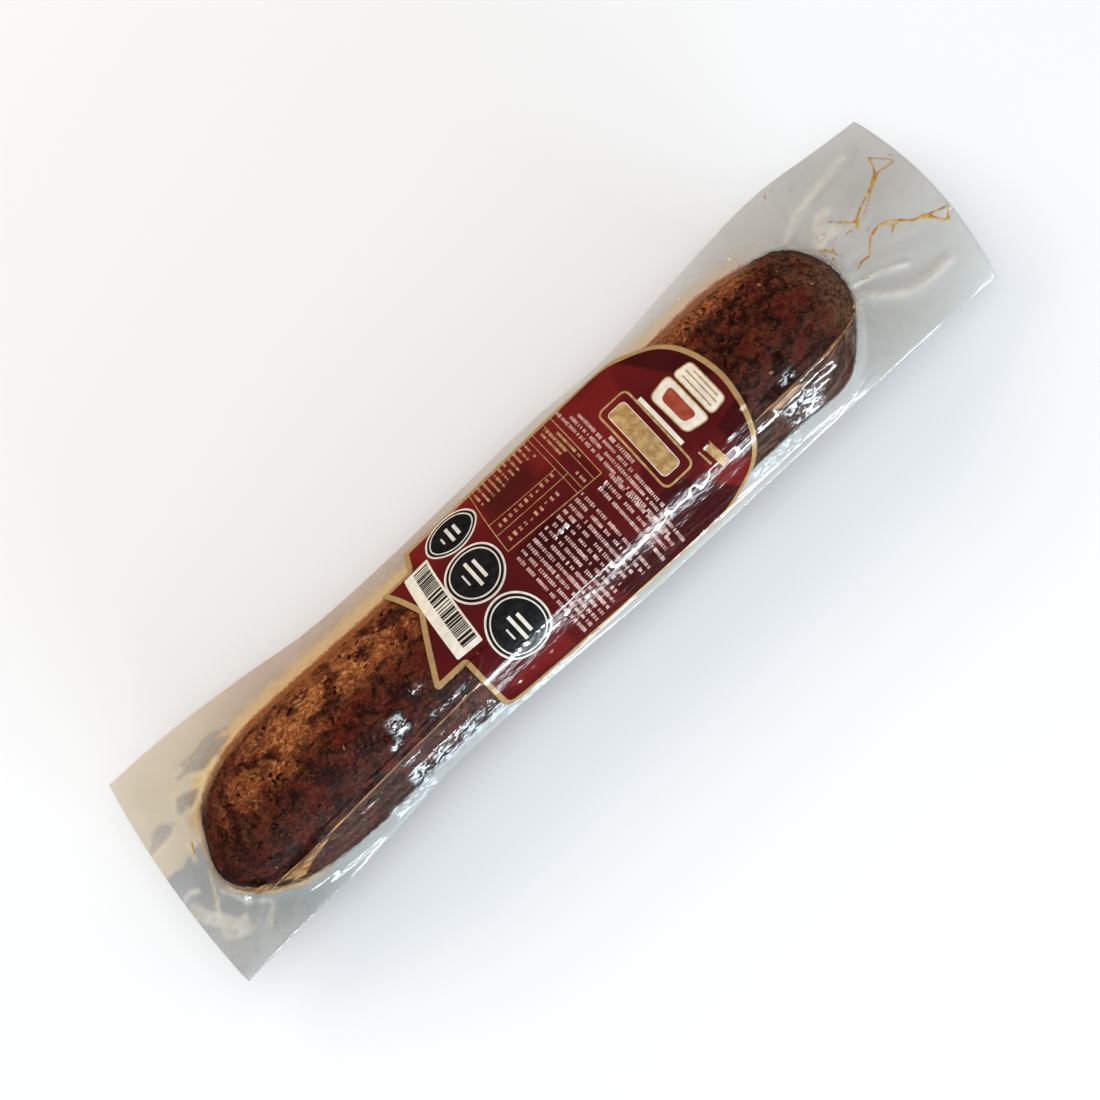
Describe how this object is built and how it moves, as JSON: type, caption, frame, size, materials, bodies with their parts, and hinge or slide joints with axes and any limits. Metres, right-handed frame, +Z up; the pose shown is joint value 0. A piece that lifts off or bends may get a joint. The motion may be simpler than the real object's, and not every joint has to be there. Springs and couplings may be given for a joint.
{
  "type": "vacuum-packed cured sausage",
  "caption": "Blunt-ended cured sausage sealed flat between two clear films with wide end flanges, with a wrap-over label across its middle.",
  "frame": {"origin": "centre of the bounding box's underside, on the surface that the pack lies on", "axes": "+X along the sausage, towards the long end flange; +Y across the pack; +Z up, through the label"},
  "size_m": [0.2396, 0.055, 0.0373],
  "materials": {
    "crust": "rough dark paprika crust with lighter fat and dark pepper specks, oily where the film touches it",
    "clear_film": "clear glossy film, slightly grey over the flanges, creased at the ends",
    "label_print": "glossy burgundy print with a gold edge"
  },
  "bodies": {
    "root": {"sausage": "crust", "back_film": "clear_film", "top_film": "clear_film", "label": "label_print"}
  },
  "joints": []
}
